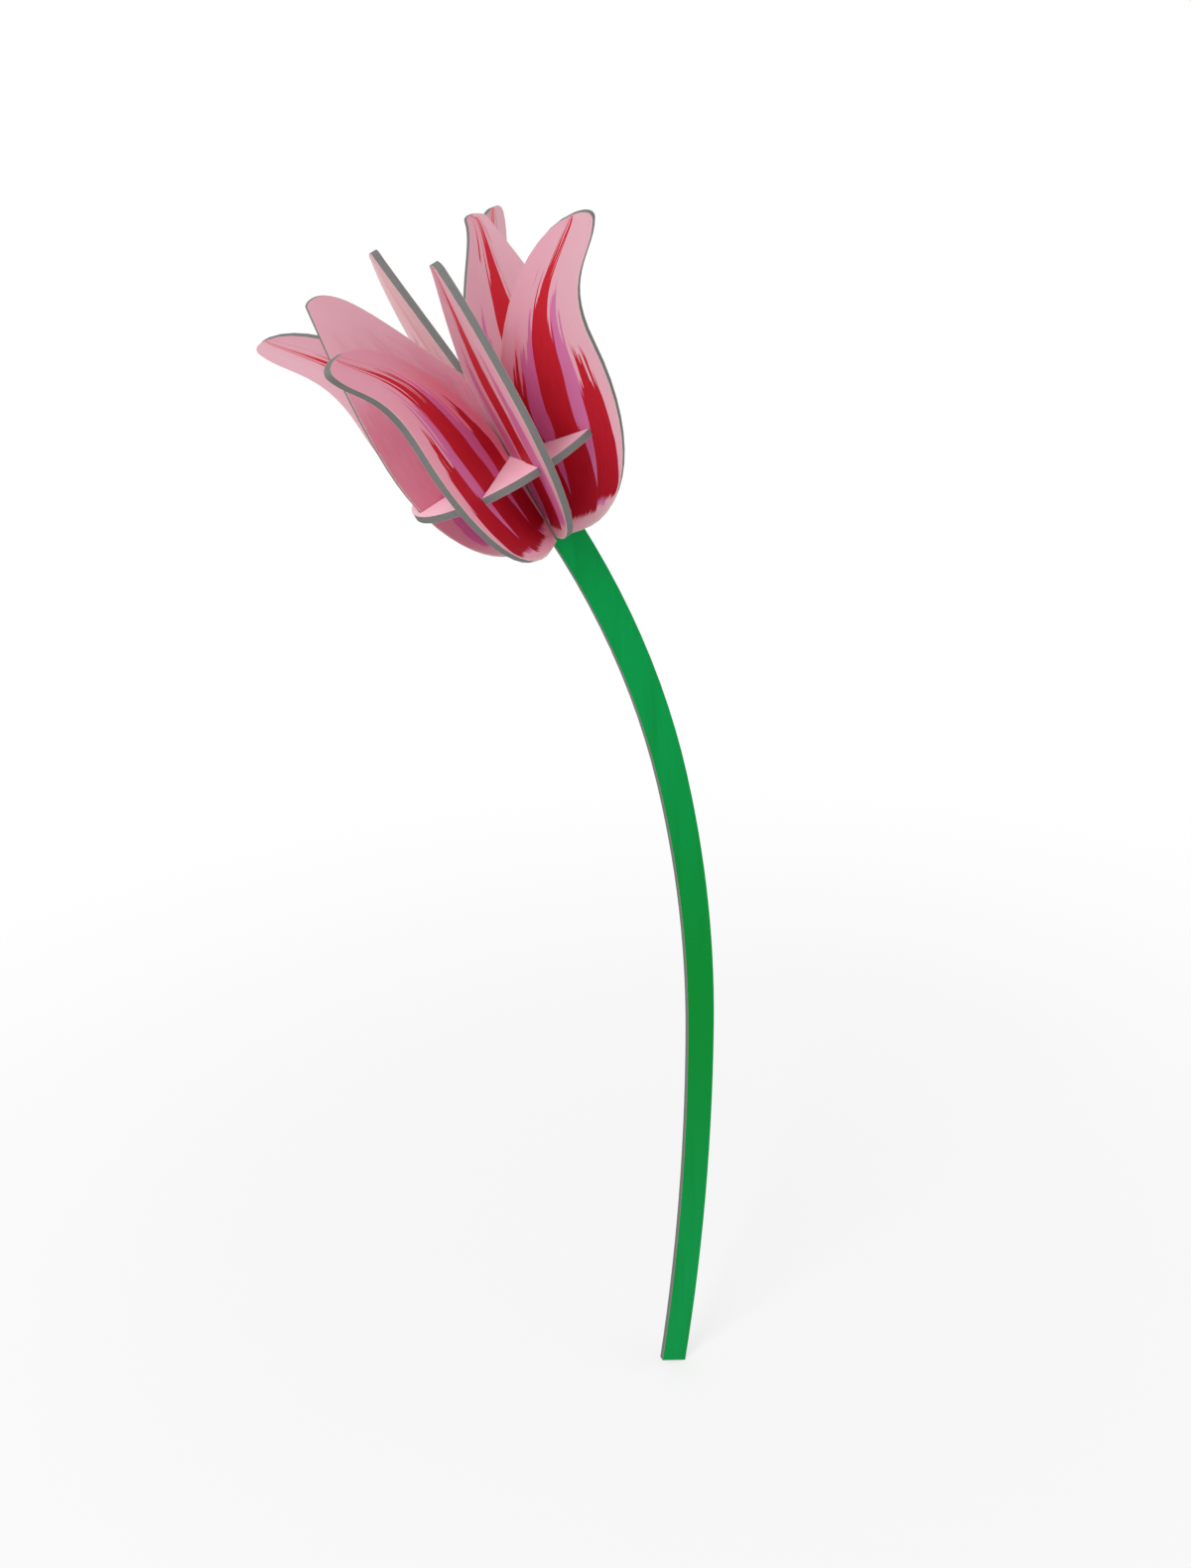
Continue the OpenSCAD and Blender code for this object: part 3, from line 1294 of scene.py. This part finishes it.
@dataclass
class LeggedPetal(StraightPetal):
    """A straight petal beside the stem, with one leg through the disc and a notch over the stem's tongue."""

    waist_reach: float = 29.6
    waist_height: float = 13.0
    drop: float = 24.0
    heel: float = 9.0
    inner: float = 0.1
    flank: float = 0.4

    def outline(self) -> list[Knot]:
        """Cut round the petal, its leg and its notch.

        Returns:
            The outline, from the inner end of the heel.
        """
        stem, fit = self.head.stem, self.head.board.fit
        notch = flat(stem.tongue_width / 2 + fit, stem.tongue_height + fit)
        knife = Knife(flat(self.heel, -self.drop)).curve(self.belly())
        for cut in self.upper_cuts():
            knife.curve(cut)
        knife.line(flat(self.inner, notch.y), notch)
        return knife.line(flat(notch.x, fit), flat(self.heel, fit)).knots


@dataclass
class Disc:
    """The oval disc that holds the petals in its slots.

    Args:
        head: Head that it lies in.
        long_reach: Half length in the plane of the stem, in millimetres.
        short_reach: Half width across the stem.
        open_slots: Azimuths of the slots that open at the rim, in degrees.
        leg_slot: Reaches between which the two closed slots run.
    """

    head: Head
    long_reach: float = 29.8
    short_reach: float = 21.6
    open_slots: tuple[float, ...] = (315.0, 225.0, 135.0, 40.0, 270.0, 90.0)
    leg_slot: tuple[float, float] = (8.9, 28.39)

    def build(self) -> None:
        """Cut, dress and place the disc."""
        board = self.head.board
        stand = self.head.level(board.thickness / 2)
        holes = [self._hole(azimuth, *self.leg_slot) for azimuth in (0.0, 180.0)]
        tongue = self.head.stem.tongue_width / 2 + board.fit
        holes.append(self._hole(0.0, -tongue, tongue))
        piece = board.cut("slotted_disc", self._outline(), holes)
        board.dress(piece, DiscPrintAndLight().make(piece.name, stand), stand)
        board.stand_up(piece, stand, "disc", "disc_board")

    @staticmethod
    def _beside(azimuth: float, reach: float, side: float) -> Vector:
        """Return the point at a reach along an azimuth in degrees and at a distance to its left."""
        return Matrix.Rotation(math.radians(azimuth), 2) @ flat(reach, side)

    def _hole(self, azimuth: float, start: float, end: float) -> list[Knot]:
        """Return the outline of a closed slot.

        Args:
            azimuth: Where it lies, in degrees.
            start: Reach of its inner end.
            end: Reach of its outer end.

        Returns:
            Four corners.
        """
        half = self.head.board.slot / 2
        corners = ((start, -half), (end, -half), (end, half), (start, half))
        return [Knot(self._beside(azimuth, *corner)) for corner in corners]

    def _outline(self) -> list[Knot]:
        """Cut round the oval rim, in and out of the open slots.

        Returns:
            The outline of the disc.
        """
        half = self.head.board.slot / 2
        azimuths = sorted(self.open_slots)
        turn = self._turn(azimuths[-1], half)
        knife = Knife(self._rim(turn))
        for azimuth in azimuths:
            step = (self._turn(azimuth, -half) - turn) % math.tau / 2
            knife.curve(self._rim_cut(turn, step)).curve(self._rim_cut(turn + step, step))
            knife.line(*(self._beside(azimuth, self.head.slot_end, side) for side in (-half, half)))
            turn = self._turn(azimuth, half)
            knife.line(self._rim(turn))
        return knife.knots[:-1]

    def _turn(self, azimuth: float, side: float) -> float:
        """Find where the side of an open slot meets the rim.

        Args:
            azimuth: Where the slot lies, in degrees.
            side: Distance of its side to the left of that line, in millimetres.

        Returns:
            The turn round the oval, in radians.
        """
        across = self._beside(azimuth, 0.0, 1.0)
        spread = flat(across.x * self.long_reach, across.y * self.short_reach)
        return math.atan2(spread.y, spread.x) - math.acos(side / spread.length)

    def _rim(self, turn: float) -> Vector:
        """Return the point of the rim at a turn in radians."""
        return flat(self.long_reach * math.cos(turn), self.short_reach * math.sin(turn))

    def _rim_cut(self, turn: float, step: float) -> Cut:
        """Cut along the rim.

        Args:
            turn: Where the cut starts, as a turn round the oval in radians.
            step: How far it goes, in radians.

        Returns:
            The cut.
        """
        lead = arc_handle(step)
        start, end = self._rim(turn), self._rim(turn + step)
        ahead, behind = self._rim(turn + math.pi / 2), self._rim(turn + step + math.pi / 2)
        return (start, start + lead * ahead, end - lead * behind, end)


class Blossom:
    """The eight petals, their prints and the painted light and shade on their paper."""

    # Apart from the print, the paper colours differ from petal to petal as painted light and shade, set for
    # where each petal stands in the light
    PRINTS = {
        "flared_right": PetalPrintAndShade(
            rose=(232, 172, 188), painted_shade=(237, 104, 140), fall=(0.2, 0.55), side=0.9),
        # Left flared petal: paper painted brighter and redder, as painted light against the shade its
        # neighbours cast on it
        "flared_left": PetalPrintAndShade(
            pale=(236, 163, 181), rose=(228, 150, 168), painted_shade=(250, 140, 166), fall=(0.05, 0.35), side=0.9),
        "flared_far_left": PetalPrintAndShade(),
        # Far right flared petal: coral flames whose paler points are painted light
        "flared_far_right": PetalPrintAndShade(Fan(top=1.1, inks=(Ink.CORAL, Ink.MAGENTA))),
        "straight_near": PetalPrintAndShade(Fan(count=3)),
        # Far straight petal: paper painted paler, as painted sheen and light on a face that stands in shade
        "straight_far": PetalPrintAndShade(
            Fan(count=3, width=5.0, inks=(Ink.BLUSH, Ink.MAGENTA)),
            pale=(254, 212, 215), rose=(244, 194, 199), painted_shade=(240, 180, 184)),
        # Left straight petal: painted shade across its whole width, strong towards the heel
        "straight_left": PetalPrintAndShade(
            Fan(count=3, top=0.62, width=6.0),
            pale=(226, 170, 183), rose=(223, 166, 180), painted_shade=(211, 117, 142), fall=(0.1, 0.5), side=0.0),
        "straight_right": PetalPrintAndShade(Fan(count=3), painted_shade=(236, 160, 178), fall=(0.3, 0.9)),
    }

    def __init__(self, head: Head) -> None:
        """Keep the head that the petals stand in."""
        self.head = head

    def build(self) -> None:
        """Cut, dress and place all the petals."""
        self._build_flared()
        self._build_straight()

    def _build_flared(self) -> None:
        """Cut one flared petal, copy it three times and finish all four."""
        places = {"right": 315.0, "left": 225.0, "far_left": 135.0, "far_right": 40.0}
        petals = [FlaredPetal(f"flared_{place}", self.head, azimuth) for place, azimuth in places.items()]
        first = petals[0].cut()
        pieces = [first]
        for petal in petals[1:]:
            bpy.ops.object.select_all(action="DESELECT")
            first.select_set(True)
            bpy.context.view_layer.objects.active = first
            bpy.ops.object.duplicate(linked=False)
            bpy.context.object.name = petal.name
            pieces.append(bpy.context.object)
        for petal, piece in zip(petals, pieces):
            petal.finish(piece, self.PRINTS[petal.name])

    def _build_straight(self) -> None:
        """Cut and finish the four straight petals."""
        head = self.head
        petals = (
            StraightPetal("straight_near", head, 270.0, tip_reach=27.6, top=53.4),
            StraightPetal("straight_far", head, 90.0, tip_reach=23.6, top=55.2),
            LeggedPetal("straight_left", head, 180.0, tip_reach=25.6, top=56.5, full=1.0, dip_reach=11.6),
            LeggedPetal(
                "straight_right", head, 0.0, tip_reach=24.0, top=54.4, full=0.2, dip_reach=9.2,
                tip_width=5.2),
        )
        for petal in petals:
            petal.finish(petal.cut(), self.PRINTS[petal.name])


@dataclass
class Studio:
    """The camera, the soft light and the pale floor.

    Args:
        eye: Where the camera stands, in metres.
        forward: Direction in which it looks.
        up: Direction of the top of its picture.
        lens: Its focal length in millimetres.
        sensor: Width of its picture plane in millimetres.
        shift: Shift of its lens.
        sky: Strength of the light from all round.
        lamps: Place, width and power of each lamp, in metres and watts.
        aim: Point that the lamps shine at.
        floor_radius: Radius of the floor.
        floor_fade: Distances from the foot between which the floor turns white.
    """

    eye: Point = (-0.1660, -0.3492, 0.3806)
    forward: Point = (0.4653, 0.8045, -0.3692)
    up: Point = (0.1853, 0.3193, 0.9294)
    lens: float = 31.9
    sensor: float = 36.0
    shift: tuple[float, float] = (-0.1044, -0.0095)
    sky: float = 0.55
    lamps: tuple[tuple[Point, float, float], ...] = (
        ((-0.75, -0.45, 1.0), 0.5, 6.2),
        ((0.7, -0.6, 0.6), 0.9, 1.8),
    )
    aim: Point = (-0.03, 0.0, 0.2)
    floor_radius: float = 4.0
    floor_fade: tuple[float, float] = (0.05, 0.6)

    def build(self) -> None:
        """Set up everything round the object."""
        bpy.context.scene.view_settings.view_transform = "Standard"
        self._camera()
        self._world()
        self._lamps()
        self._floor()

    def _camera(self) -> None:
        """Set up the camera."""
        ahead = Vector(self.forward).normalized()
        right = ahead.cross(Vector(self.up)).normalized()
        top = right.cross(ahead)
        bpy.ops.object.camera_add(location=self.eye)
        camera = bpy.context.object
        turn = Matrix((right, top, -ahead)).transposed().to_4x4()
        camera.matrix_world = Matrix.Translation(self.eye) @ turn
        camera.data.sensor_width = self.sensor
        camera.data.lens = self.lens
        camera.data.shift_x, camera.data.shift_y = self.shift
        camera.data.clip_start = 0.01
        bpy.context.scene.camera = camera

    @staticmethod
    def _seen(graph: Graph) -> Wire:
        """Tell the rays that show the background from those that light the object.

        Args:
            graph: Nodes of the background.

        Returns:
            1 for rays that show it and 0 for the others.
        """
        seen = graph.node("ShaderNodeLightPath", {}, {}, "Is Camera Ray")
        glossy = graph.node("ShaderNodeLightPath", {}, {}, "Is Glossy Ray")
        through = graph.node("ShaderNodeLightPath", {}, {}, "Is Transmission Ray")
        return seen.at_least(glossy).at_least(through)

    def _world(self) -> None:
        """Set up even light from all round, with a white background."""
        world = bpy.data.worlds.new("soft_sky")
        world.use_nodes = True
        bpy.context.scene.world = world
        graph = Graph(world.node_tree)
        light = graph.node("ShaderNodeBackground", {}, {"Color": (1, 1, 1, 1), "Strength": self.sky})
        white = graph.node("ShaderNodeBackground", {}, {"Color": (1, 1, 1, 1), "Strength": 1.0})
        mixed = graph.node("ShaderNodeMixShader", {}, {0: self._seen(graph), 1: light, 2: white})
        graph.close("ShaderNodeOutputWorld", mixed)

    def _lamps(self) -> None:
        """Hang large soft lamps over the object."""
        for place, width, power in self.lamps:
            bpy.ops.object.light_add(type="AREA", location=place)
            lamp = bpy.context.object
            lamp.data.size = width
            lamp.data.energy = power
            lamp.rotation_euler = (Vector(self.aim) - Vector(place)).to_track_quat("-Z", "Y").to_euler()

    def _floor(self) -> None:
        """Lay a pale floor under the foot, which keeps the shadow near it and is white further off."""
        ground = (0, 0, CAD_BOX[0].z)
        bpy.ops.mesh.primitive_circle_add(
            vertices=96, radius=self.floor_radius, fill_type="NGON", location=ground)
        floor = bpy.context.object
        floor.name = "pale_floor"
        material = bpy.data.materials.new("pale_floor")
        material.use_nodes = True
        graph = Graph(material.node_tree)
        place = graph.node("ShaderNodeTexCoord", {}, {}, "Object")
        white = self._seen(graph) * (graph.length(place).rise(*self.floor_fade) * 0.35 + 0.65)
        matte = graph.node("ShaderNodeBsdfDiffuse", {}, {"Color": (0.92, 0.92, 0.92, 1)})
        glow = graph.node("ShaderNodeEmission", {}, {"Color": (1, 1, 1, 1), "Strength": 1.0})
        mixed = graph.node("ShaderNodeMixShader", {}, {0: white, 1: matte, 2: glow})
        graph.close("ShaderNodeOutputMaterial", mixed)
        floor.data.materials.append(material)


def write_sizes() -> None:
    """Bring the view layer up to date."""
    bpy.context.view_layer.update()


def main() -> None:
    """Build the tulip and its studio."""
    logging.basicConfig(level=logging.INFO, format="%(message)s")
    stem = Stem(Board())
    head = Head(stem)
    stem.build()
    Disc(head).build()
    Blossom(head).build()
    Studio().build()
    write_sizes()


if __name__ == "__main__":
    main()
